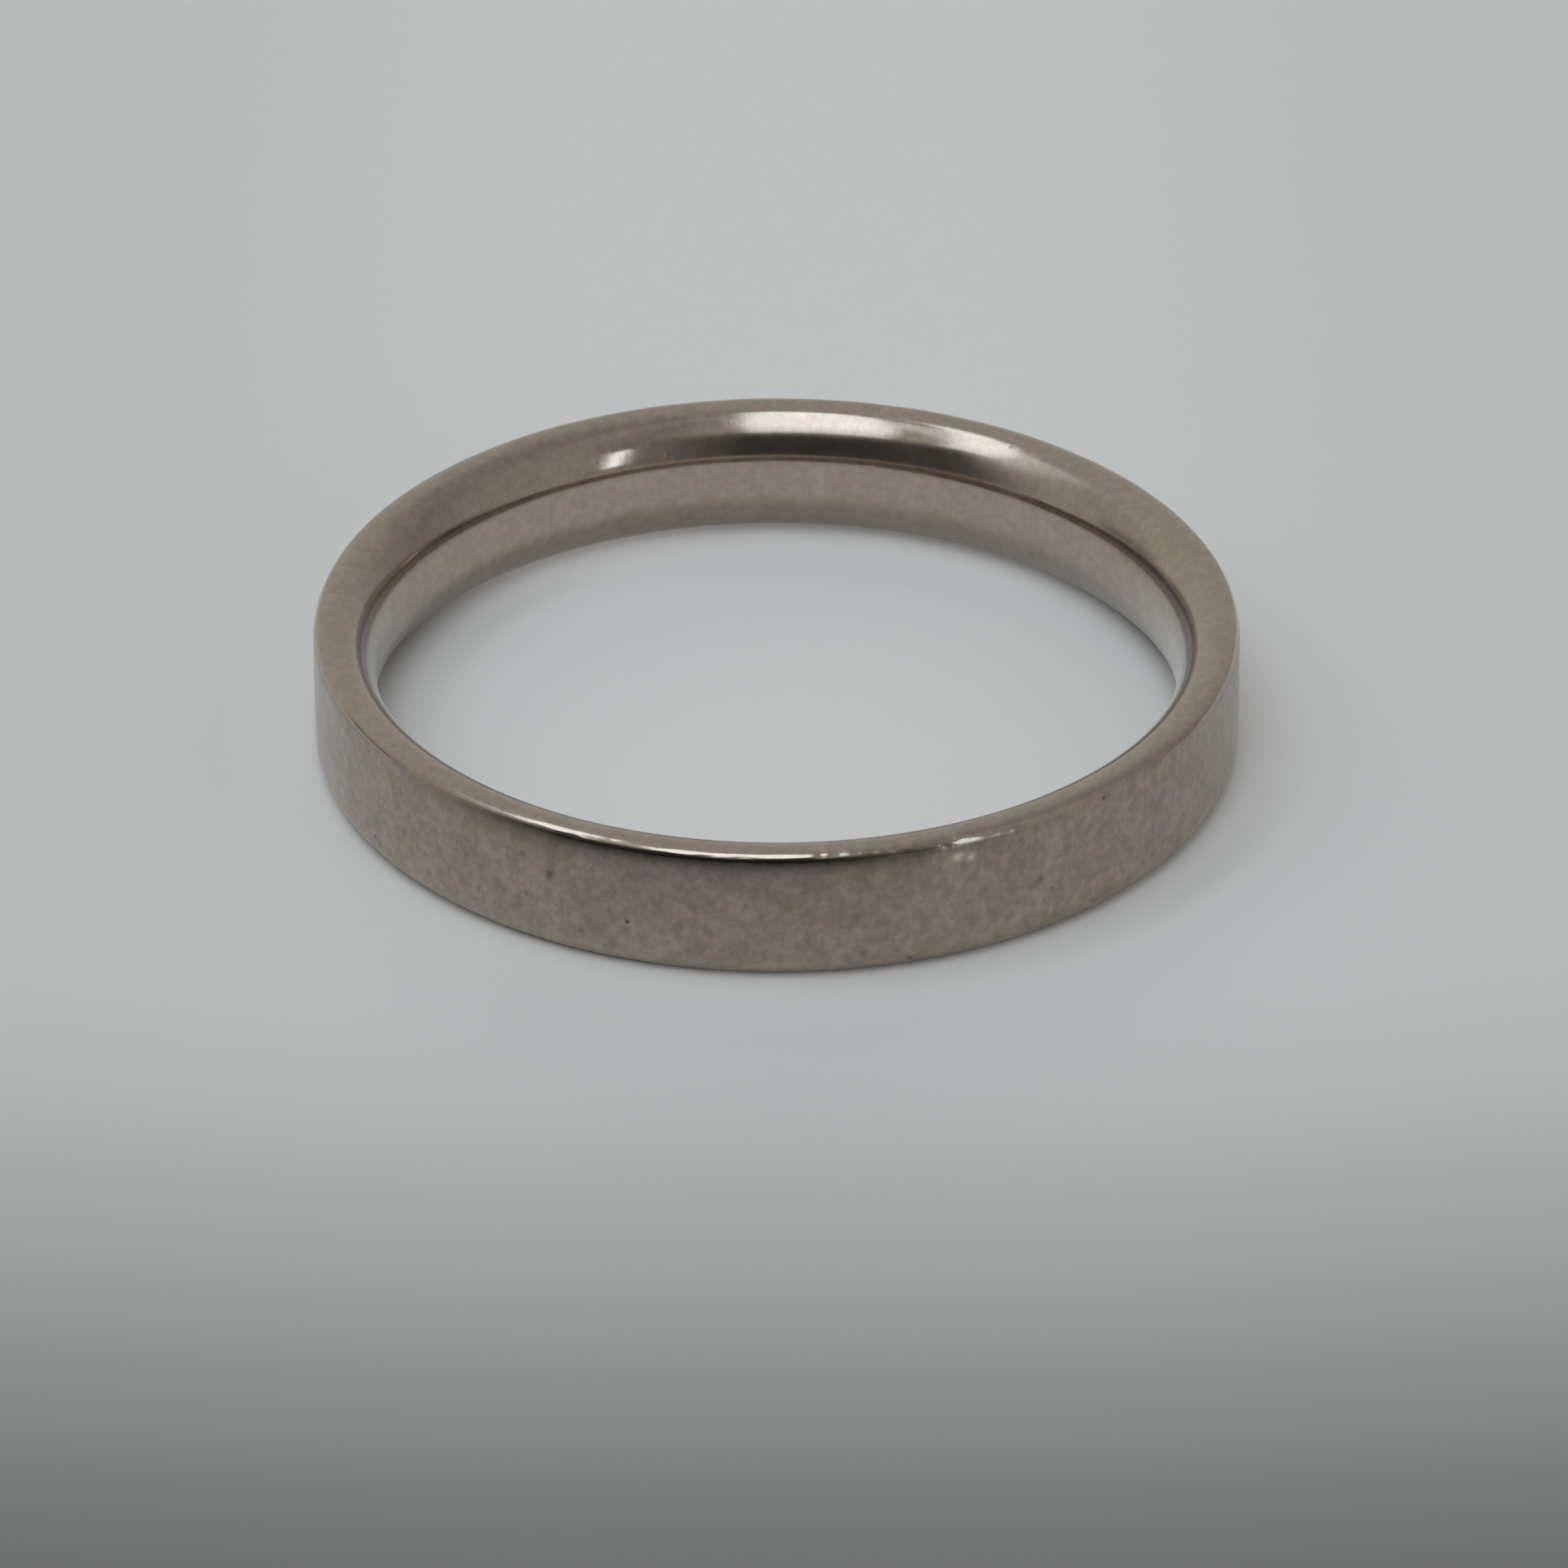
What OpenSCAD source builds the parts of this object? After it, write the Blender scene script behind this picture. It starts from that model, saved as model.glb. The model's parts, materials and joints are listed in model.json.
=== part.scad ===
// Plain flat wedding band, lying on its side: the finger axis is +Z, and the lower edge rests at Z 0.
// The outside is flat with softened corners. The inside is domed, so that it slides over a knuckle.

/* [Band] */
// Inner diameter at the narrowest, halfway up: 17.2 is finger size 54, an inner circumference of 54
finger_d = 17.2; // [14:0.1:23]
// Height of the band along the finger
band_w = 3; // [2.4:0.1:4.2]
// Thickness of the wall at its thickest, halfway up
wall_t = 1.35; // [1.2:0.05:1.6]

/* [Edges] */
// Radius of the two corners between the flat outside and the side faces
outer_edge_r = 0.3; // [0.1:0.05:0.4]
// Width of the flat ring left on each side face, which is what the band rests on
seat_w = 0.05; // [0.05:0.01:0.1]
// Height of the straight cylindrical strip at the middle of the inside
bore_land = 0.4; // [0.3:0.1:0.8]

/* [Hidden] */
$fn = 180;

// The inside curve runs from the side face to the straight strip in two tangent arcs, a tight one and
// then a gentle one. They meet where the surface has turned by the larger angle of a 3-4-5 triangle.
turn_sin = 0.8;
turn_cos = 0.6;

finger_r = finger_d / 2;
outer_r = finger_r + wall_t;
corner_r = outer_r - outer_edge_r;
seat_r = corner_r - seat_w;
mid_z = band_w / 2;
corner_z = band_w - outer_edge_r;
land_top = (band_w + bore_land) / 2;

// Radii that give the two arcs together this depth into the wall and this height
dome_depth = seat_r - finger_r;
dome_height = band_w - land_top;
knee_r = (dome_depth * turn_cos - dome_height * (1 - turn_sin)) / (turn_cos + turn_sin - 1);
crown_r = (dome_height - knee_r * (1 - turn_cos)) / turn_cos;
// Place where the two arcs meet
meet_r = seat_r - knee_r * turn_sin;
meet_z = band_w - knee_r * (1 - turn_cos);

// A rectangle between two corners, in the half-plane of radius and height.
module patch(low, high) {
    translate(low) square(high - low);
}

// The part of a disc that lies between two corners.
module disc_patch(centre, radius, low, high) {
    intersection() {
        translate(centre) circle(r = radius);
        patch(low, high);
    }
}

// Upper half of the wall's cross-section, in pieces that meet edge to edge.
module upper_half_section() {
    // Outer strip, and the rounded corner above it
    patch([corner_r, mid_z], [outer_r, corner_z]);
    disc_patch([corner_r, corner_z], outer_edge_r, [corner_r, corner_z], [outer_r, band_w]);
    // Core under the flat seat
    patch([seat_r, mid_z], [corner_r, band_w]);
    // Inside: straight strip, gentle arc and tight arc
    patch([finger_r, mid_z], [seat_r, land_top]);
    disc_patch([finger_r + crown_r, land_top], crown_r, [finger_r, land_top], [seat_r, meet_z]);
    disc_patch([seat_r, band_w - knee_r], knee_r, [meet_r, meet_z], [seat_r, band_w]);
}

module band_section() {
    upper_half_section();
    translate([0, band_w]) mirror([0, 1]) upper_half_section();
}

module band() {
    color([0.55, 0.51, 0.46]) rotate_extrude() band_section();
}

band();
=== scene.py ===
"""A plain flat wedding band in worn white gold, on a pale surface. One mesh stands for the CAD band."""
import json
import math

import bpy
import numpy as np
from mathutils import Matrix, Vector


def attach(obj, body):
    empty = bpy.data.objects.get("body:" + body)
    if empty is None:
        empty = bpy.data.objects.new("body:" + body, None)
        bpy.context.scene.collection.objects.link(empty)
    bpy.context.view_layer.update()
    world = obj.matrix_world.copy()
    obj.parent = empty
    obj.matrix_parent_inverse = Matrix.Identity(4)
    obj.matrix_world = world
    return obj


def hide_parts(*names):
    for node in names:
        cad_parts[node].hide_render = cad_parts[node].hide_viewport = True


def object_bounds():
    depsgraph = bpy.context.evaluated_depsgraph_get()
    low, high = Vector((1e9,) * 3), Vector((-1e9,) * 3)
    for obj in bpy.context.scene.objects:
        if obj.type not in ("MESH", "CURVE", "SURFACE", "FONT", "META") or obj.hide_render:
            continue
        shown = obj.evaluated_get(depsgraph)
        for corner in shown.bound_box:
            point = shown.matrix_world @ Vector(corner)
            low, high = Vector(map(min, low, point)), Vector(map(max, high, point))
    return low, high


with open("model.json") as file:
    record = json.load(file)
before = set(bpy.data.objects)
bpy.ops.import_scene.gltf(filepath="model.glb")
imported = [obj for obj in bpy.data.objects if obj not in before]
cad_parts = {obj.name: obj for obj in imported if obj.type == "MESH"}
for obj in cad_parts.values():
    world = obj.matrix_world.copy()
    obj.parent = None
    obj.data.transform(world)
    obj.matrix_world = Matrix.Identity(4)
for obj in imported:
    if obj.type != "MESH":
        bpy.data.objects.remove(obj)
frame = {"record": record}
cad_low, cad_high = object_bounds()

MM = 0.001

# Sizes in millimetres. The first three come from the CAD model, and the rest repeat its section.
OUTER_R = (cad_high.x - cad_low.x) / 2 / MM
BAND_W = (cad_high.z - cad_low.z) / MM
FINGER_R = next(m["dims"]["r_mm"] for m in frame["record"]["mounts"] if m["name"] == "finger_bore")
OUTER_EDGE_R = 0.3
SEAT_W = 0.05
BORE_LAND = 0.4
SEAT_R = OUTER_R - OUTER_EDGE_R - SEAT_W
# Sine and cosine of the turn from the side face to where the inside's small arc meets its large one
TURN_SIN = 0.8
TURN_COS = 0.6

# Directions of the section's outward normal, in degrees: away from the axis, up, towards the axis and down
OUT = 0
UP = 90
IN = 180
DOWN = 270
ROUND = 360

# Steps of the mesh: round the ring, and along each stretch of the section
STRIPS = 3
ROUND_STEPS = 288 * STRIPS
WALL_STEPS = 24
KNEE_STEPS = 9
CROWN_STEPS = 12
LAND_STEPS = 3
LAST_STEPS = 6

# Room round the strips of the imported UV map, and left over beside them, in millimetres
STRIP_GAP = 0.15
UV_MARGIN = 1.0

# The upper corner has worn from one arc to four, and the lower one to two, rounder. Each row is the lean
# at which an arc ends, in degrees from the wall, with its radius in millimetres and its steps. A last arc
# meets the side face.
UPPER_CORNER = [(15, 0.21, 5), (34, 0.38, 6), (66, 0.12, 6)]
LOWER_CORNER = [(66, 0.50, 17)]

# Depths of wear in millimetres: the slight crown of the flat outside, the least anywhere, and what each
# unit of a random field adds everywhere, on the corners and on the knocked stretch
CROWN_DEPTH = 0.012
LEAST_WEAR = 0.004
EVEN_WEAR = 0.002
CORNER_WEAR = 0.0025
KNOCKED_WEAR = 0.003
# Middle and half-length of the knocked stretch of the upper corner, in degrees
KNOCKED_MIDDLE = 19
KNOCKED_HALF = 9

# Places on the ring are an angle from the front, to the right, in degrees, and a height in millimetres.
# Dents knocked into the outside: angle, height, radius and depth in millimetres
DENTS = [
    (5.3, 2.94, 0.07, 0.005),
    (15.4, 2.86, 0.16, 0.010),
    (20.6, 2.84, 0.07, 0.008),
    (29.5, 2.86, 0.08, 0.008),
    (22.3, 2.58, 0.12, 0.012),
    (24.0, 2.51, 0.10, 0.012),
    (-20.5, 2.90, 0.12, 0.005),
    (-47.0, 2.85, 0.12, 0.008),
]
# Small dents all round: how many, and the least and most of their radius and depth in millimetres
SMALL_DENTS = 160
SMALL_DENT_RADII = (0.07, 0.16)
SMALL_DENT_DEPTHS = (0.002, 0.007)
# Places where knocks have left bare metal: angle, height, half-length round, half-height and strength
SCRAPES = [
    (8.2, 2.935, 0.10, 0.030, 1.00),
    (10.1, 2.93, 0.06, 0.025, 0.60),
    (12.1, 2.92, 0.07, 0.025, 0.60),
    (13.8, 2.91, 0.09, 0.025, 0.55),
    (20.6, 2.80, 0.05, 0.050, 0.95),
    (21.6, 2.80, 0.04, 0.040, 0.50),
    (22.5, 2.80, 0.07, 0.035, 0.80),
    (23.6, 2.82, 0.13, 0.030, 0.75),
    (25.3, 2.83, 0.08, 0.040, 1.00),
    (23.7, 2.87, 0.40, 0.080, 0.30),
    (27.4, 2.84, 0.25, 0.035, 0.35),
    (29.5, 2.82, 0.05, 0.040, 0.80),
    (22.0, 2.95, 0.05, 0.030, 0.50),
    (22.3, 2.53, 0.13, 0.090, 1.00),
    (24.0, 2.46, 0.08, 0.090, 1.00),
    (19.3, 2.58, 0.05, 0.070, 0.50),
    (20.6, 2.40, 0.05, 0.070, 0.45),
]
# Dark marks on the outside: angle, height, radius and strength. The last is a wide faint patch of painted
# shade, a dark reflection at the front of the wall.
MARKS = [
    (33.6, 1.46, 0.075, 1.0),
    (35.4, 1.09, 0.060, 0.8),
    (30.6, 2.54, 0.055, 0.6),
    (32.2, 1.35, 0.050, 0.7),
    (37.6, 1.95, 0.060, 0.5),
    (16.2, 0.27, 0.065, 0.9),
    (10.5, 0.55, 0.060, 0.7),
    (3.7, 0.94, 0.055, 0.6),
    (-9.8, 0.73, 0.060, 0.6),
    (-19.7, 1.76, 0.070, 0.6),
    (-20.1, 0.50, 0.060, 0.7),
    (-24.3, 0.69, 0.060, 0.9),
    (-31.8, 1.22, 0.055, 0.7),
    (-32.3, 2.15, 0.070, 0.6),
    (-38.7, 0.92, 0.065, 0.8),
    (-39.7, 0.52, 0.055, 0.6),
    (-40.6, 1.56, 0.060, 0.7),
    (-43.8, 1.02, 0.065, 0.8),
    (-47.2, 1.44, 0.060, 0.6),
    (-57.5, 0.52, 0.060, 0.6),
    (41.6, 0.39, 0.065, 0.7),
    (0.6, 1.90, 0.450, 0.2),
]
BROWN_SPOT = (-28.4, 1.84, 0.090, 1.0)
# Angle, height, half-length round and half-height of the patch that is worn to small pits
WORN_PATCH = (22.8, 2.66, 1.05, 0.36)
# Painted shade under the upper corner, standing for the dark reflection at the front of the wall: how fast
# it fades down the wall, in millimetres, the lean on the corner where it ends, and its middle and
# half-length round the ring, in degrees
UNDER_EDGE_FADE = 0.22
UNDER_EDGE_LEAN = 30
UNDER_EDGE_MIDDLE = -10
UNDER_EDGE_HALF = 34

# Colours of the metal: the greener and pinker grey, the brown spot, and metal bared by knocks
TONE_GREENER = (0.496, 0.430, 0.344, 1)
TONE_PINKER = (0.504, 0.404, 0.350, 1)
BROWN = (0.16, 0.055, 0.012, 1)
BARE_METAL = (0.88, 0.80, 0.70, 1)
BARE_SHARE = 0.9
# How dark the painted shade under the upper corner makes the metal, as a share of its colour that is taken
# away
UNDER_EDGE_PAINTED_SHADE = 0.65
# Roughness: what the inside, the pits and the worn patch add or take away, and that of bared metal
INSIDE_ROUGHER = 0.05
PITS_ROUGHER = 0.15
PATCH_SMOOTHER = 0.10
BARE_ROUGHNESS = 0.42
# A little sheen, which gives the satin its pale look where it is seen at a slant
SHEEN = 0.42
SHEEN_ROUGHNESS = 0.4
# Heights for the bump, as shares of the bump's depth in metres
BUMP_DEPTH = 1e-5
MOTTLE_HEIGHT = 0.30
GRAIN_HEIGHT = 0.15
GRIT_HEIGHT = 0.12
SCRATCH_HEIGHT = 0.10
PIT_HEIGHT = 0.8
PATCH_HEIGHT = 0.5
SCRAPE_HEIGHT = 0.5

# The surface under the ring: its colour, and its size in metres
SURFACE_COLOUR = (0.828, 0.807, 0.784)
SURFACE_SIZE = 4

# The camera, fitted to the ring's outlines: its distance and aim in millimetres from the ring's centre, and
# its focal length in pixels of the photo's frame
CAMERA_DISTANCE = 245.26
CAMERA_ELEVATION = math.radians(30.207)
AIM_RIGHT = 0.156
AIM_DOWN = 2.297
FOCAL_PX = 14048
FRAME_PX = 1932
SENSOR_WIDTH = 36

# The lamp: its width and height and distance in metres, its direction in degrees, its brightness and colour
LAMP_WIDTH = 0.034
LAMP_HEIGHT = 0.19
LAMP_DISTANCE = 0.5
LAMP_AZIMUTH = 45.5
LAMP_ELEVATION = 20
LAMP_RADIANCE = 3.1
LAMP_COLOUR = (0.75, 0.86, 1.0)

# How bright the room's lower part is from the ring, round from the back by the left, the front and the
# right: angle from the camera's side and brightness
LOW_ROOM = [
    (-180, 0.46), (-150, 0.50), (-126, 0.50), (-112, 0.44), (-78, 0.44),
    (-68, 0.33), (-60, 0.20), (-53, 0.09), (-33, 0.07), (-22, 0.052),
    (8, 0.052), (20, 0.14), (33, 0.22), (48, 0.30), (62, 0.40),
    (90, 0.36), (112, 0.27), (128, 0.32), (152, 0.42), (180, 0.46),
]
LOW_WARMTH = 0.25
# The same above the windows' lower edge, where there is no window
HIGH_ROOM = [
    (-180, 0.48), (-150, 0.48), (-60, 0.46), (20, 0.40), (45, 0.29),
    (62, 0.37), (84, 0.38), (112, 0.31), (150, 0.33), (180, 0.48),
]
HIGH_WARMTH = 0.1
WINDOW_COLOUR = (1.85, 2.08, 2.26, 1)
HORIZON_COLOUR = (0.10, 0.095, 0.09, 1)
HORIZON_SHARE = 0.65
# Edges of the two windows as planes through the ring's centre: the normals, which point out of the window
LEFT_EDGE = (-0.891, 0.391, -0.231)
RIGHT_EDGE = (0.991, 0.108, -0.084)
BACK_EDGE = (0.0, 0.976, -0.218)
STRIP_NEAR_EDGE = (0.799, -0.500, 0.333)
STRIP_FAR_EDGE = (-0.659, 0.569, -0.492)


def arc(centre_r, centre_z, radius, start, end, steps):
    """Points on an arc but the last, as (radius from the axis, height, angle of the outward normal)."""
    angles = np.radians(np.linspace(start, end, steps + 1)[:-1])
    return [(centre_r + radius * math.cos(a), centre_z + radius * math.sin(a), a) for a in angles]


def line(r0, z0, r1, z1, normal, steps):
    """Points on a straight stretch, in the same form."""
    t = np.linspace(0, 1, steps + 1)[:-1]
    return [(r0 + (r1 - r0) * k, z0 + (z1 - z0) * k, math.radians(normal)) for k in t]


def worn_corner(rows):
    """Arcs of a worn corner from the wall to the side face, and the height at which they leave the wall.
    An arc is its centre, radius, start, end and steps. The heights are those of an upper corner."""
    ends = [math.radians(end) for end, _, _ in rows]
    starts = [0.0] + ends
    radii = [radius for _, radius, _ in rows]
    counts = [steps for _, _, steps in rows] + [LAST_STEPS]
    inward = sum(k * (math.cos(a) - math.cos(b)) for k, a, b in zip(radii, starts, ends))
    radii.append((OUTER_R - inward - SEAT_R) / math.cos(starts[-1]))
    ends.append(math.pi / 2)
    foot = BAND_W - sum(k * (math.sin(b) - math.sin(a)) for k, a, b in zip(radii, starts, ends))
    arcs = []
    r = OUTER_R
    z = foot
    for radius, a, b, steps in zip(radii, starts, ends, counts):
        centre_r = r - radius * math.cos(a)
        centre_z = z - radius * math.sin(a)
        arcs.append((centre_r, centre_z, radius, math.degrees(a), math.degrees(b), steps))
        r = centre_r + radius * math.cos(b)
        z = centre_z + radius * math.sin(b)
    return arcs, foot


def section():
    """The closed section, from the foot of the outer wall up, over the top, down the inside and back."""
    depth = SEAT_R - FINGER_R
    height = (BAND_W - BORE_LAND) / 2
    knee = (depth * TURN_COS - height * (1 - TURN_SIN)) / (TURN_COS + TURN_SIN - 1)
    crown = (height - knee * (1 - TURN_COS)) / TURN_COS
    turn = math.degrees(math.asin(TURN_SIN))
    land_low = (BAND_W - BORE_LAND) / 2
    land_high = (BAND_W + BORE_LAND) / 2
    upper_corner, upper_foot = worn_corner(UPPER_CORNER)
    lower_corner, lower_foot = worn_corner(LOWER_CORNER)
    points = line(OUTER_R, BAND_W - lower_foot, OUTER_R, upper_foot, OUT, WALL_STEPS)
    for centre_r, centre_z, radius, start, end, steps in upper_corner:
        points += arc(centre_r, centre_z, radius, start, end, steps)
    points += arc(SEAT_R, BAND_W - knee, knee, UP, UP + turn, KNEE_STEPS)
    points += arc(FINGER_R + crown, land_high, crown, UP + turn, IN, CROWN_STEPS)
    points += line(FINGER_R, land_high, FINGER_R, land_low, IN, LAND_STEPS)
    points += arc(FINGER_R + crown, land_low, crown, IN, DOWN - turn, CROWN_STEPS)
    points += arc(SEAT_R, knee, knee, DOWN - turn, DOWN, KNEE_STEPS)
    for centre_r, centre_z, radius, start, end, steps in reversed(lower_corner):
        points += arc(centre_r, BAND_W - centre_z, radius, ROUND - end, ROUND - start, steps)
    return np.array(points)


def soft_rise(value, start=0, width=1):
    """Goes smoothly from 0 at start to 1 a width further on."""
    x = np.clip((value - start) / width, 0, 1)
    return x * x * (3 - 2 * x)


def hump(angle, middle, half):
    """A flat-topped hump over the angles round the ring: 1 in the middle, a third at the half-length."""
    return np.exp(-(((angle - middle) / half) ** 4))[:, None]


def uneven(shape, seed, length_round, length_along, mean, most):
    """A smooth random field over the ring's mesh, with spread 1 about the mean, and kept between 0 and the
    most. Lengths are in mesh steps."""
    field = np.random.default_rng(seed).normal(size=shape)
    k0 = np.fft.fftfreq(shape[0])[:, None] * length_round
    k1 = np.fft.fftfreq(shape[1])[None, :] * length_along
    field = np.fft.ifft2(np.fft.fft2(field) * np.exp(-2 * math.pi ** 2 * (k0 ** 2 + k1 ** 2))).real
    return np.clip(field / field.std() + mean, 0, most)


def spots(angle, z, places):
    """Round marks over the mesh, from rows of angle, height, radius and strength. The strongest counts."""
    field = np.zeros((len(angle), len(z)))
    for where, height, radius, strength in places:
        across = np.radians((angle - where + 180) % 360 - 180) * OUTER_R
        distance = np.hypot(across[:, None], (z - height)[None, :]) / radius
        field = np.maximum(field, strength * np.exp(-distance ** 2))
    return field


def scrapes(angle, z):
    """1 in the middle of each full-strength scrape, and about a third at its half-sizes."""
    field = np.zeros((len(angle), len(z)))
    for where, height, half_round, half_high, strength in SCRAPES:
        across = np.radians(angle - where) * OUTER_R / half_round
        distance = np.hypot(across[:, None], ((z - height) / half_high)[None, :])
        field = np.maximum(field, strength * np.exp(-distance ** 2))
    return field


def worn_patch(angle, z):
    """1 in the middle of the patch worn to pits, and 0 beyond its half-sizes."""
    where, height, half_round, half_high = WORN_PATCH
    across = np.radians(angle - where) * OUTER_R / half_round
    distance = np.hypot(across[:, None], ((z - height) / half_high)[None, :])
    return 1 - soft_rise(distance, start=0.4, width=0.6)


def small_dents():
    """Many small dents at random places, in the same form as DENTS."""
    seeded = np.random.default_rng(4)
    dents = []
    for _ in range(SMALL_DENTS):
        where = seeded.uniform(-180, 180)
        height = seeded.uniform(0.1, BAND_W - 0.1)
        radius = seeded.uniform(*SMALL_DENT_RADII)
        depth = seeded.uniform(*SMALL_DENT_DEPTHS)
        dents.append((where, height, radius, depth))
    return dents


def faces_out(turn):
    """True where the section's normal leans away from the axis: the outer wall and its corners."""
    return np.cos(turn) > 0.01


def wear(angle, z, turn):
    """Depth in millimetres that each point has worn or been knocked in, over the mesh."""
    shape = (len(angle), len(z))
    outside = faces_out(turn)[None, :]
    lean = np.arcsin(np.clip(np.abs(np.sin(turn)), 0, 1))
    edge = np.sin(2 * lean) * outside
    # The flat outside has worn to a slight crown, which ends on the corners
    out = np.abs(z - BAND_W / 2) / (BAND_W / 2)
    crown = CROWN_DEPTH * out ** 2 * (1 - soft_rise(np.degrees(lean), start=30, width=60))
    depth = crown[None, :] * outside + LEAST_WEAR
    wavy = uneven(shape, seed=1, length_round=20, length_along=14, mean=1.5, most=3)
    depth = depth + EVEN_WEAR * wavy
    # Corners are uneven all round, and more so on the stretch that has been knocked
    wavy = uneven(shape, seed=2, length_round=3, length_along=2, mean=1, most=3)
    depth = depth + edge * CORNER_WEAR * wavy
    knocked = hump(angle, KNOCKED_MIDDLE, KNOCKED_HALF) * (z > BAND_W / 2)
    wavy = uneven(shape, seed=3, length_round=1.2, length_along=1.2, mean=0.8, most=2.5)
    depth = depth + edge * knocked * KNOCKED_WEAR * wavy
    return depth + (spots(angle, z, DENTS) + spots(angle, z, small_dents())) * outside


def add_uv_maps(mesh, r, z, i, j):
    """Two UV maps, for faces at step i round and step j along: millimetres over the surface, and one packed
    for textures, with the ring in strips one above the other."""
    ahead = np.roll(np.stack([r, z], -1), -1, 0) - np.stack([r, z], -1)
    along = np.concatenate([[0], np.cumsum(np.hypot(*ahead.T))])
    step = 2 * math.pi * OUTER_R / ROUND_STEPS
    u = np.stack([i, i + 1, i + 1, i], -1) * step
    v = np.stack([along[j], along[j], along[j + 1], along[j + 1]], -1)
    surface = mesh.uv_layers.new(name="surface_mm")
    middle = math.pi * OUTER_R
    surface.data.foreach_set("uv", np.stack([u - middle, v], -1).ravel())
    per_strip = ROUND_STEPS // STRIPS
    strip = (i // per_strip)[..., None]
    side = STRIPS * along[-1] + UV_MARGIN
    packed_u = (u - strip * per_strip * step + STRIP_GAP) / side
    packed_v = (v + strip * (along[-1] + STRIP_GAP) + STRIP_GAP) / side
    packed = mesh.uv_layers.new(name="OFBake")
    packed.data.foreach_set("uv", np.stack([packed_u, packed_v], -1).ravel())


def add_fields(mesh, angle, z, turn):
    """The values from 0 to 1 over the mesh that its material reads."""
    upper_foot = worn_corner(UPPER_CORNER)[1]
    lean_up = np.degrees(np.arctan2(np.sin(turn), np.cos(turn)))
    on_wall = faces_out(turn)
    # The satin ends a little way up the upper corner, and further down the lower one
    satin = (1 - soft_rise(lean_up, start=14, width=9)) * (1 - soft_rise(-lean_up, start=45, width=30))
    # Painted shade: the dark reflection under the upper corner, darkest where the corner meets the wall
    painted_shade_under_edge = np.exp(-np.maximum(0, upper_foot - z) / UNDER_EDGE_FADE) * on_wall
    painted_shade_under_edge = painted_shade_under_edge * (lean_up < UNDER_EDGE_LEAN)
    fields = {
        "satin": satin,
        "inside": soft_rise(-1.5 * np.cos(turn)),
        "dark_marks_and_painted_shade": spots(angle, z, MARKS) * on_wall,
        "brown_spot": spots(angle, z, [BROWN_SPOT]) * on_wall,
        "worn_patch": worn_patch(angle, z) * on_wall,
        "scraped": scrapes(angle, z) * on_wall,
        # Painted shade low on the inside, near the foot
        "painted_shade_low_inside": soft_rise(-2 * np.cos(turn)) * soft_rise(-z, start=-1.35, width=0.65),
        "painted_shade_under_edge": painted_shade_under_edge * hump(angle, UNDER_EDGE_MIDDLE, UNDER_EDGE_HALF),
    }
    for name, values in fields.items():
        field = mesh.attributes.new(name, "FLOAT", "POINT")
        values = np.broadcast_to(values, (len(angle), len(z)))
        field.data.foreach_set("value", np.ascontiguousarray(values, dtype=np.float32).ravel())


def ring_mesh():
    """The band's mesh with its wear, its UV maps and its material's fields."""
    r, z, turn = section().T
    angle = np.linspace(-180, 180, ROUND_STEPS + 1)[:-1]
    depth = wear(angle, z, turn)
    worn_r = r[None, :] - depth * np.cos(turn)
    worn_z = z[None, :] - depth * np.sin(turn)
    a = np.radians(angle)[:, None]
    verts = np.stack([worn_r * np.sin(a), -worn_r * np.cos(a), worn_z], -1).reshape(-1, 3) * MM
    count = len(r)
    i, j = np.meshgrid(np.arange(ROUND_STEPS), np.arange(count), indexing="ij")
    i2 = (i + 1) % ROUND_STEPS
    j2 = (j + 1) % count
    corners = [i * count + j, i2 * count + j, i2 * count + j2, i * count + j2]
    faces = np.stack(corners, -1).reshape(-1, 4)
    mesh = bpy.data.meshes.new("ring_band")
    mesh.from_pydata(verts.tolist(), [], faces.tolist())
    mesh.shade_smooth()
    add_uv_maps(mesh, r, z, i, j)
    add_fields(mesh, angle, z, turn)
    return mesh


def add_object(name, data):
    piece = bpy.data.objects.new(name, data)
    bpy.context.scene.collection.objects.link(piece)
    return piece


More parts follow.
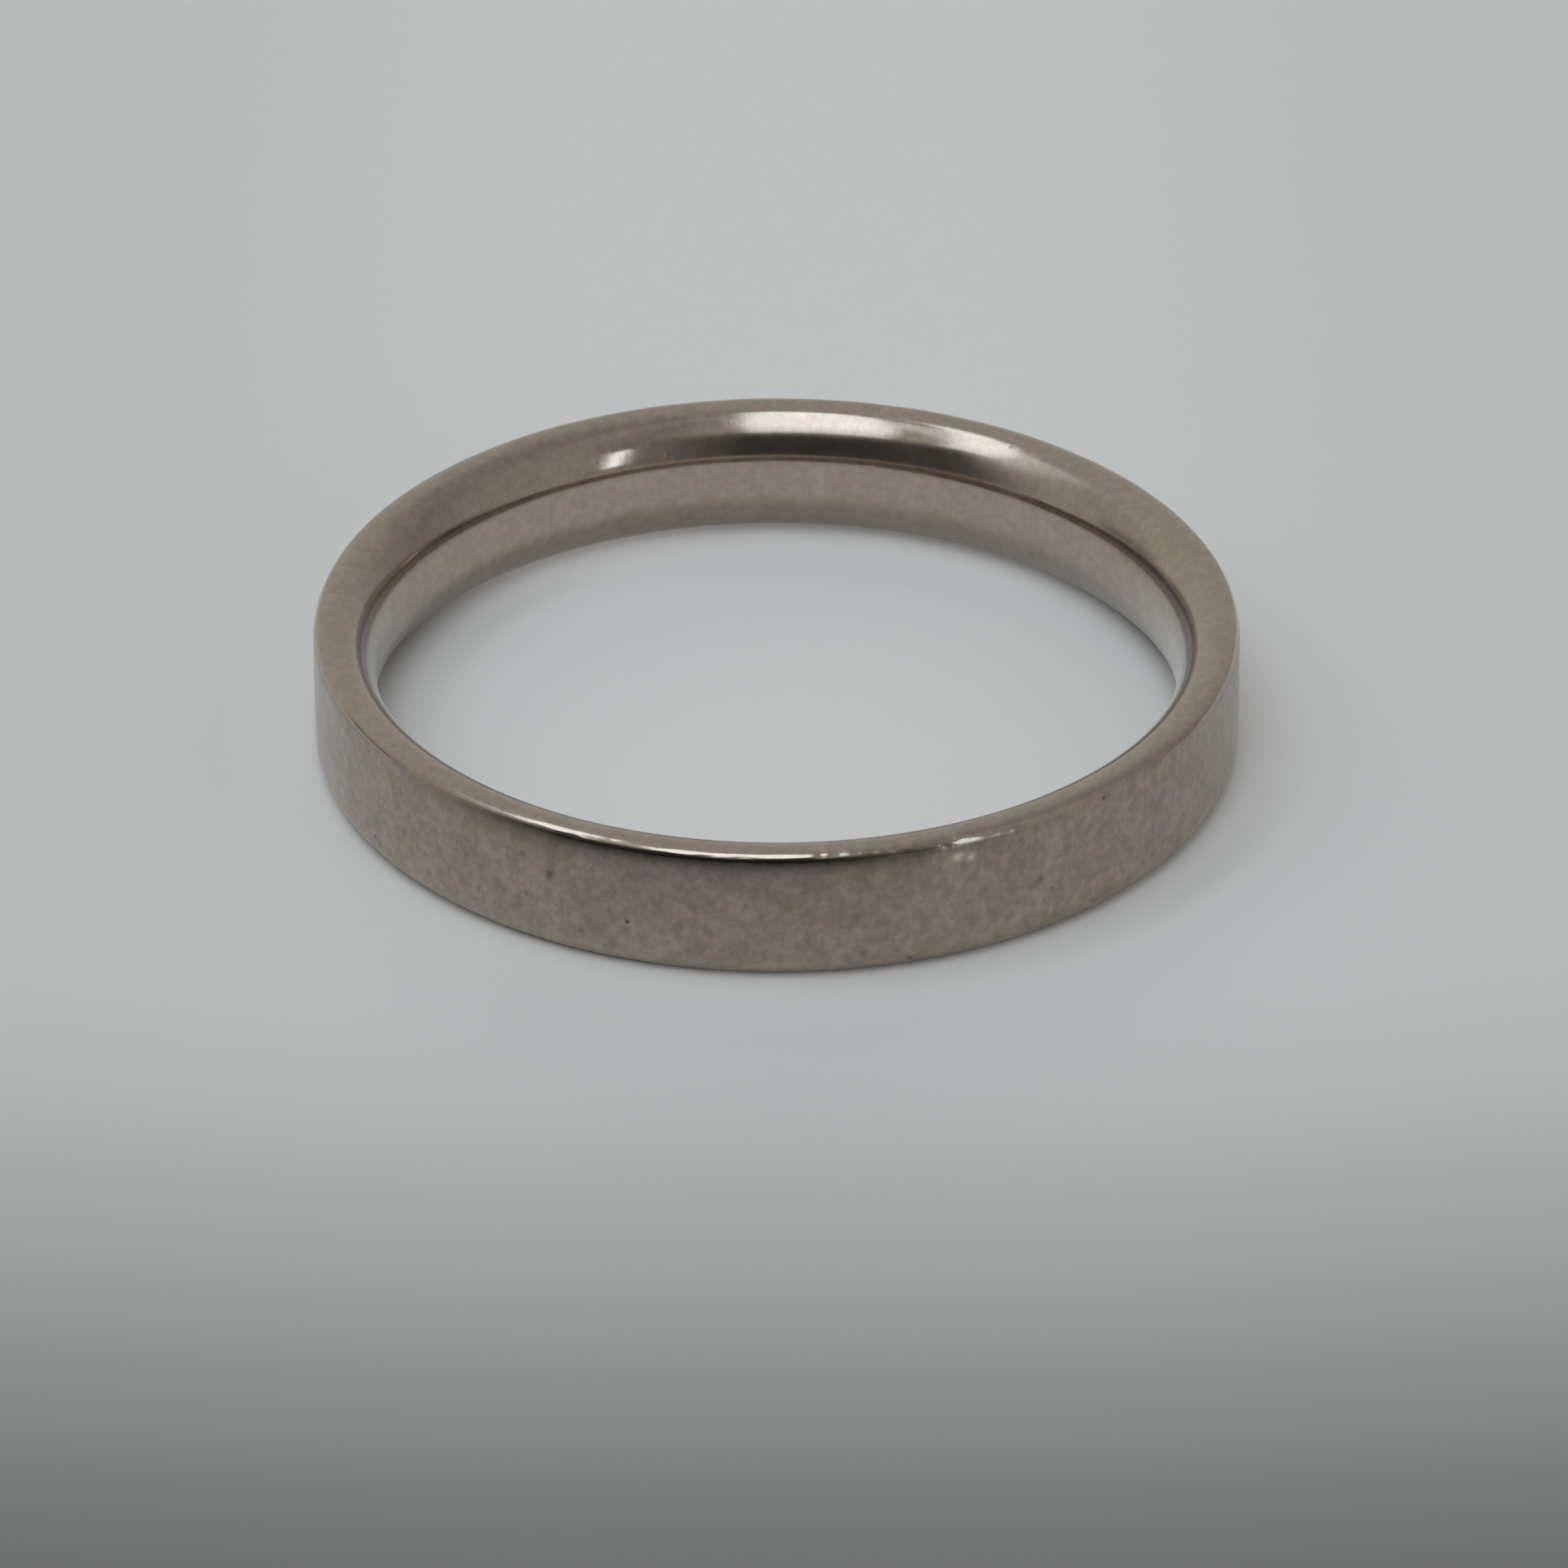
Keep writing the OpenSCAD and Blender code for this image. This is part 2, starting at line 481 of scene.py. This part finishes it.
class Nodes:
    """Short ways to add shader nodes to one tree. A value is a number, a tuple or another node's output."""

    def __init__(self, tree):
        self.tree = tree

    def put(self, value, socket):
        if isinstance(value, bpy.types.NodeSocket):
            self.tree.links.new(value, socket)
        else:
            socket.default_value = value

    def add(self, kind, inputs=(), **settings):
        node = self.tree.nodes.new("ShaderNode" + kind)
        for key, value in settings.items():
            setattr(node, key, value)
        for key, value in dict(inputs).items():
            self.put(value, node.inputs[key])
        return node

    def math(self, operation, *values):
        node = self.tree.nodes.new("ShaderNodeMath")
        node.operation = operation
        for socket, value in zip(node.inputs, values):
            self.put(value, socket)
        return node.outputs[0]

    def plus(self, a, b):
        return self.math("ADD", a, b)

    def minus(self, a, b):
        return self.math("SUBTRACT", a, b)

    def times(self, a, b):
        return self.math("MULTIPLY", a, b)

    def either(self, a, b):
        return self.math("MAXIMUM", a, b)

    def over(self, value, bound):
        """1 where the value is over the bound, and 0 elsewhere."""
        return self.math("GREATER_THAN", value, bound)

    def fade(self, value, start=0.0, end=1.0, low=0.0, high=1.0):
        """Goes smoothly from low at start to high at end, and stays there."""
        inputs = {"Value": value, "From Min": start, "From Max": end, "To Min": low, "To Max": high}
        return self.add("MapRange", inputs, interpolation_type="SMOOTHSTEP").outputs[0]

    def band(self, value, low, high, soft):
        """1 between two bounds and 0 outside them, with soft ends."""
        rise = self.fade(value, low - soft, low + soft)
        fall = self.fade(value, high + soft, high - soft)
        return self.times(rise, fall)

    def mix(self, factor, a, b):
        """Goes from colour a to colour b as the factor goes from 0 to 1."""
        node = self.tree.nodes.new("ShaderNodeMix")
        node.data_type = "RGBA"
        colours = [s for s in node.inputs if s.type == "RGBA"]
        self.put(factor, node.inputs[0])
        for socket, value in zip(colours, (a, b)):
            self.put(value, socket)
        return next(s for s in node.outputs if s.type == "RGBA")

    def ramp(self, value, stops):
        """The colour at a value from 0 to 1, between stops that are a place and a colour."""
        node = self.tree.nodes.new("ShaderNodeValToRGB")
        elements = node.color_ramp.elements
        while len(elements) < len(stops):
            elements.new(0.5)
        for element, (place, colour) in zip(elements, stops):
            element.position = place
            element.color = (*colour, 1)
        self.put(value, node.inputs[0])
        return node.outputs["Color"]

    def stretched(self, vector, factors):
        return self.add("VectorMath", {0: vector, 1: factors}, operation="MULTIPLY").outputs[0]

    def shaded(self, colour, shade):
        """A colour times a number."""
        return self.add("VectorMath", {0: colour, "Scale": shade}, operation="SCALE").outputs[0]

    def noise(self, vector, scale, detail=2.0, roughness=0.5):
        inputs = {"Vector": vector, "Scale": scale, "Detail": detail, "Roughness": roughness}
        return self.add("TexNoise", inputs).outputs[0]

    def cells(self, vector, scale, flat=False):
        """Distance to the nearest cell's point, and that cell's own random number."""
        dimensions = "2D" if flat else "3D"
        node = self.add("TexVoronoi", {"Vector": vector, "Scale": scale}, voronoi_dimensions=dimensions)
        own = self.add("SeparateColor", {0: node.outputs["Color"]}).outputs[0]
        return node.outputs["Distance"], own


def new_material(name):
    """A new material, its nodes and its shader."""
    mat = bpy.data.materials.new(name)
    mat.use_nodes = True
    return mat, Nodes(mat.node_tree), mat.node_tree.nodes["Principled BSDF"]


def white_gold():
    """Worn white gold: satin and mottled outside, smoother edges and inside, with pits and scratches."""
    mat, n, shader = new_material("white_gold")
    place = n.stretched(n.add("TexCoord").outputs["Object"], (1 / MM, 1 / MM, 1 / MM))
    flat = n.add("UVMap", uv_map="surface_mm").outputs[0]

    def field(name):
        return n.add("Attribute", attribute_name=name).outputs["Fac"]

    satin = field("satin")
    scraped = field("scraped")
    blotch = n.noise(place, scale=0.9, detail=3.0, roughness=0.6)
    mottle = n.noise(place, scale=4.5, detail=3.0, roughness=0.65)
    grain = n.noise(n.stretched(place, (9, 9, 1.3)), scale=1.0, detail=3.0, roughness=0.6)

    # Small dark pits, about one a square millimetre, and a finer grit
    far, own = n.cells(place, scale=1.3)
    pits = n.times(n.fade(far, start=0.10, end=0.04), n.fade(own, start=0.45, end=1.0))
    far, own = n.cells(place, scale=4.5)
    grit = n.times(n.fade(far, start=0.26, end=0.08), n.over(own, 0.55))
    # Dark marks, with one wide patch of painted shade at the front, darken the metal like pits
    specks = n.either(n.times(pits, n.fade(satin, low=0.3, high=1.0)), field("dark_marks_and_painted_shade"))

    # Short scratches: up the wall, round the ring and at a slant
    def scratches(turn, thin, share):
        turned = n.add("VectorRotate", {"Vector": flat, "Angle": turn}, rotation_type="Z_AXIS").outputs[0]
        far, own = n.cells(n.stretched(turned, (0.55, 7.0, 1)), scale=1.0, flat=True)
        return n.times(n.fade(far, start=thin, end=thin * 0.3), n.over(own, 1 - share))

    scratched = scratches(turn=0.05, thin=0.06, share=0.30)
    scratched = n.either(scratched, scratches(turn=1.50, thin=0.05, share=0.35))
    scratched = n.either(scratched, scratches(turn=0.85, thin=0.05, share=0.22))

    # The patch that is worn to small pits
    patch_noise = n.noise(place, scale=3.0)
    worn = n.times(n.times(field("worn_patch"), satin), n.fade(patch_noise, start=0.40, end=0.55))
    far, own = n.cells(place, scale=8.0)
    worn_pits = n.times(worn, n.fade(far, start=0.45, end=0.1))

    # Colour: warm grey with slightly pinker and greener blotches, darker in pits, and one brown spot
    hue_noise = n.noise(place, scale=5.5, detail=2.0, roughness=0.6)
    hue = n.plus(n.times(blotch, 0.4), n.times(hue_noise, 0.6))
    tone = n.mix(n.fade(hue, start=0.38, end=0.62), TONE_GREENER, TONE_PINKER)
    cloud = n.noise(place, scale=1.8, detail=2.0, roughness=0.5)
    shade = n.fade(mottle, start=0.32, end=0.68, low=0.72, high=0.98)
    shade = n.times(shade, n.fade(cloud, start=0.3, end=0.7, low=0.91, high=1.08))
    shade = n.times(shade, n.fade(grain, start=0.30, end=0.70, low=0.97, high=1.03))
    shade = n.times(shade, n.fade(grit, low=1.0, high=0.86))
    # These show half as much on the smooth edges and inside
    shade = n.plus(1.0, n.times(n.plus(shade, -1.0), n.fade(satin, low=0.5, high=1.0)))
    shade = n.times(shade, n.fade(specks, low=1.0, high=0.50))
    # Painted shade: darker low on the inside, near the foot
    shade = n.times(shade, n.fade(field("painted_shade_low_inside"), low=1.0, high=0.64))
    # Painted shade: darker under the front of the upper corner
    shade = n.times(shade, n.plus(1.0, n.times(field("painted_shade_under_edge"), -UNDER_EDGE_PAINTED_SHADE)))
    colour = n.shaded(tone, shade)
    colour = n.mix(field("brown_spot"), colour, BROWN)
    colour = n.mix(n.times(scraped, BARE_SHARE), colour, BARE_METAL)
    n.put(colour, shader.inputs["Base Color"])

    # Roughness: that of the satin and that of the smooth places, then the marks
    rough = n.fade(mottle, start=0.30, end=0.70, low=0.46, high=0.56)
    rough = n.plus(rough, n.fade(blotch, start=0.35, end=0.65, low=-0.03, high=0.03))
    smooth = n.fade(blotch, start=0.35, end=0.65, low=0.06, high=0.09)
    smooth = n.plus(smooth, n.fade(mottle, start=0.3, end=0.7, low=0.0, high=0.02))
    smooth = n.plus(smooth, n.times(field("inside"), INSIDE_ROUGHER))
    roughness = n.plus(smooth, n.times(satin, n.minus(rough, smooth)))
    roughness = n.plus(roughness, n.times(specks, PITS_ROUGHER))
    roughness = n.minus(roughness, n.times(worn, PATCH_SMOOTHER))
    roughness = n.plus(roughness, n.times(scraped, n.minus(BARE_ROUGHNESS, roughness)))
    n.put(roughness, shader.inputs["Roughness"])
    shader.inputs["Metallic"].default_value = 1
    shader.inputs["Sheen Weight"].default_value = SHEEN
    shader.inputs["Sheen Roughness"].default_value = SHEEN_ROUGHNESS

    # Bump: fine texture, a quarter as high where the metal is smooth, then the marks
    scrape_noise = n.noise(place, scale=14.0, detail=2.0, roughness=0.6)
    height = n.times(mottle, MOTTLE_HEIGHT)
    height = n.plus(height, n.times(grain, GRAIN_HEIGHT))
    height = n.minus(height, n.times(grit, GRIT_HEIGHT))
    height = n.minus(height, n.times(scratched, SCRATCH_HEIGHT))
    height = n.times(height, n.fade(satin, low=0.25, high=1.0))
    height = n.minus(height, n.times(specks, PIT_HEIGHT))
    height = n.minus(height, n.times(worn_pits, PATCH_HEIGHT))
    height = n.plus(height, n.times(n.times(scraped, scrape_noise), SCRAPE_HEIGHT))
    bump = n.add("Bump", {"Height": height, "Distance": BUMP_DEPTH})
    n.put(bump.outputs[0], shader.inputs["Normal"])
    return mat


def pale_surface():
    """The plain surface under the ring, with painted shade: darker towards the camera and a little to both
    sides, as in the photo. A painted glow about the ring's foot stands in for light that spreads inside a
    pale surface. Lengths in mm."""
    mat, n, shader = new_material("pale_surface")
    shader.inputs["Roughness"].default_value = 0.5
    shader.inputs["Emission Color"].default_value = (1.0, 1.0, 1.0, 1)
    place = n.stretched(n.add("TexCoord").outputs["Object"], (1 / MM, 1 / MM, 0))
    x, y = n.add("SeparateXYZ", {0: place}).outputs[:2]
    # Painted shade: darker towards the camera and a little to both sides
    towards_camera = n.fade(y, start=-7, end=-38, low=1.0, high=0.18)
    to_sides = n.fade(n.math("ABSOLUTE", x), start=4, end=18, low=1.0, high=0.93)
    n.put(n.shaded(SURFACE_COLOUR, n.times(towards_camera, to_sides)), shader.inputs["Base Color"])
    # The painted glow: all over the inside, more at the far foot and most to its left, and just outside the
    # ring
    out = n.add("VectorMath", {0: place}, operation="LENGTH").outputs["Value"]
    inside = n.fade(out, start=9.4, end=8.6, high=0.022)
    at_back = n.times(n.fade(y, start=3.5, end=9.0), n.fade(out, start=9.9, end=9.5))
    at_left = n.times(n.fade(x, start=1, end=-5, high=0.05), n.fade(out, start=5.0, end=7.5))
    far_foot = n.plus(n.fade(out, start=7.4, end=9.2, high=0.13), at_left)
    outside = n.times(n.fade(out, start=9.45, end=9.7), n.fade(out, start=12.5, end=10.1, high=0.035))
    glow = n.plus(inside, n.times(at_back, far_foot))
    glow = n.plus(glow, n.times(outside, n.fade(x, start=-5, end=0, low=0.6, high=1.0)))
    n.put(glow, shader.inputs["Emission Strength"])
    return mat


def add_camera():
    """The camera at the photo's angle, aimed a little below and right of the ring's centre."""
    centre = Vector((0, 0, BAND_W / 2))
    back = Vector((0, -math.cos(CAMERA_ELEVATION), math.sin(CAMERA_ELEVATION)))
    up = Vector((0, math.sin(CAMERA_ELEVATION), math.cos(CAMERA_ELEVATION)))
    aim = centre + Vector((1, 0, 0)) * AIM_RIGHT - up * AIM_DOWN
    eye = centre + back * CAMERA_DISTANCE
    cam = bpy.data.cameras.new("camera")
    cam.sensor_width = SENSOR_WIDTH
    cam.lens = SENSOR_WIDTH * FOCAL_PX / FRAME_PX
    cam.clip_start = 0.01
    cam.clip_end = 20
    holder = add_object("camera", cam)
    holder.location = eye * MM
    holder.rotation_euler = (aim - eye).to_track_quat("-Z", "Y").to_euler()
    bpy.context.scene.camera = holder


def direction(azimuth, elevation):
    """Unit vector from the ring: azimuth from the camera's side to the right, and elevation, in degrees."""
    a = math.radians(azimuth)
    e = math.radians(elevation)
    return Vector((math.sin(a) * math.cos(e), -math.cos(a) * math.cos(e), math.sin(e)))


def add_lamp():
    """A narrow upright light to the right of the camera. It makes the small bright spot inside the ring."""
    light = bpy.data.lights.new("strip_lamp", "AREA")
    light.shape = "RECTANGLE"
    light.size = LAMP_WIDTH
    light.size_y = LAMP_HEIGHT
    light.energy = LAMP_RADIANCE * math.pi * light.size * light.size_y
    light.color = LAMP_COLOUR
    holder = add_object("strip_lamp", light)
    towards = direction(LAMP_AZIMUTH, LAMP_ELEVATION)
    holder.location = towards * LAMP_DISTANCE
    holder.rotation_euler = towards.to_track_quat("Z", "Y").to_euler()
    holder.visible_camera = False


def add_room():
    """The room: grey, dark on the camera's side, with a large window overhead and a long one on its left."""
    world = bpy.data.worlds.new("room")
    bpy.context.scene.world = world
    world.use_nodes = True
    n = Nodes(world.node_tree)
    towards = n.add("TexCoord").outputs["Generated"]
    x, y, z = n.add("SeparateXYZ", {0: towards}).outputs[:3]
    elevation = n.math("DEGREES", n.math("ARCSINE", z))
    azimuth = n.math("DEGREES", n.math("ARCTAN2", x, n.times(y, -1.0)))
    turn = n.add("MapRange", {"Value": azimuth, "From Min": -180, "From Max": 180}).outputs[0]

    def grey(v, warmth):
        """A grey, slightly blue where it is dark and warmer the brighter it is."""
        return (v, v, (1.03 - warmth * v) * v)

    def beyond(edge):
        """How far a direction is past a window's edge: under 0 on the window's side."""
        return n.add("VectorMath", {0: towards, 1: edge}, operation="DOT_PRODUCT").outputs["Value"]

    def within(edges):
        """1 on the window's side of all the edges, which are soft, and 0 beyond."""
        share = 1.0
        for edge in edges:
            share = n.times(share, n.fade(beyond(edge), start=0.015, end=-0.045))
        return share

    def around(rows, warmth):
        """The greys of the rows, from angle to angle round the ring."""
        return n.ramp(turn, [((a + 180) / 360, grey(v, warmth)) for a, v in rows])

    # The long window, and its light spread on the wall below it
    strip = n.times(within([STRIP_NEAR_EDGE, STRIP_FAR_EDGE]), n.fade(azimuth, start=-160, end=-140))
    strip = n.times(strip, n.fade(azimuth, start=-40, end=-50))
    spread = n.fade(beyond(STRIP_FAR_EDGE), start=0.35, end=-0.05)
    spread = n.times(spread, n.band(azimuth, low=-118, high=-64, soft=10))
    spread = n.times(spread, n.fade(elevation, start=12, end=38, high=0.30))
    # The overhead window. Both end above a lower edge, and are brighter higher up.
    overhead = within([LEFT_EDGE, RIGHT_EDGE, BACK_EDGE])
    window = n.times(n.either(overhead, strip), n.fade(elevation, start=38, end=42))
    window = n.times(window, n.fade(elevation, start=40, end=60, low=0.62, high=1.0))
    # A dark thing stands low at the back on the left
    horizon = n.times(n.band(azimuth, low=-120, high=-98, soft=6), n.fade(elevation, start=13, end=4))
    low_room = n.mix(n.times(horizon, HORIZON_SHARE), around(LOW_ROOM, LOW_WARMTH), HORIZON_COLOUR)
    colour = n.mix(n.fade(elevation, start=32, end=46), low_room, around(HIGH_ROOM, HIGH_WARMTH))
    colour = n.mix(spread, colour, WINDOW_COLOUR)
    colour = n.mix(window, colour, WINDOW_COLOUR)
    n.put(colour, world.node_tree.nodes["Background"].inputs["Color"])


add_camera()
ring = add_object("ring_band", ring_mesh())
ring.data.materials.append(white_gold())
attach(ring, "root")
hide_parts("band")

bpy.ops.mesh.primitive_plane_add(size=SURFACE_SIZE)
floor = bpy.context.object
floor.name = "floor"
floor.data.materials.append(pale_surface())
add_lamp()
add_room()
bpy.context.scene.view_settings.view_transform = "Standard"
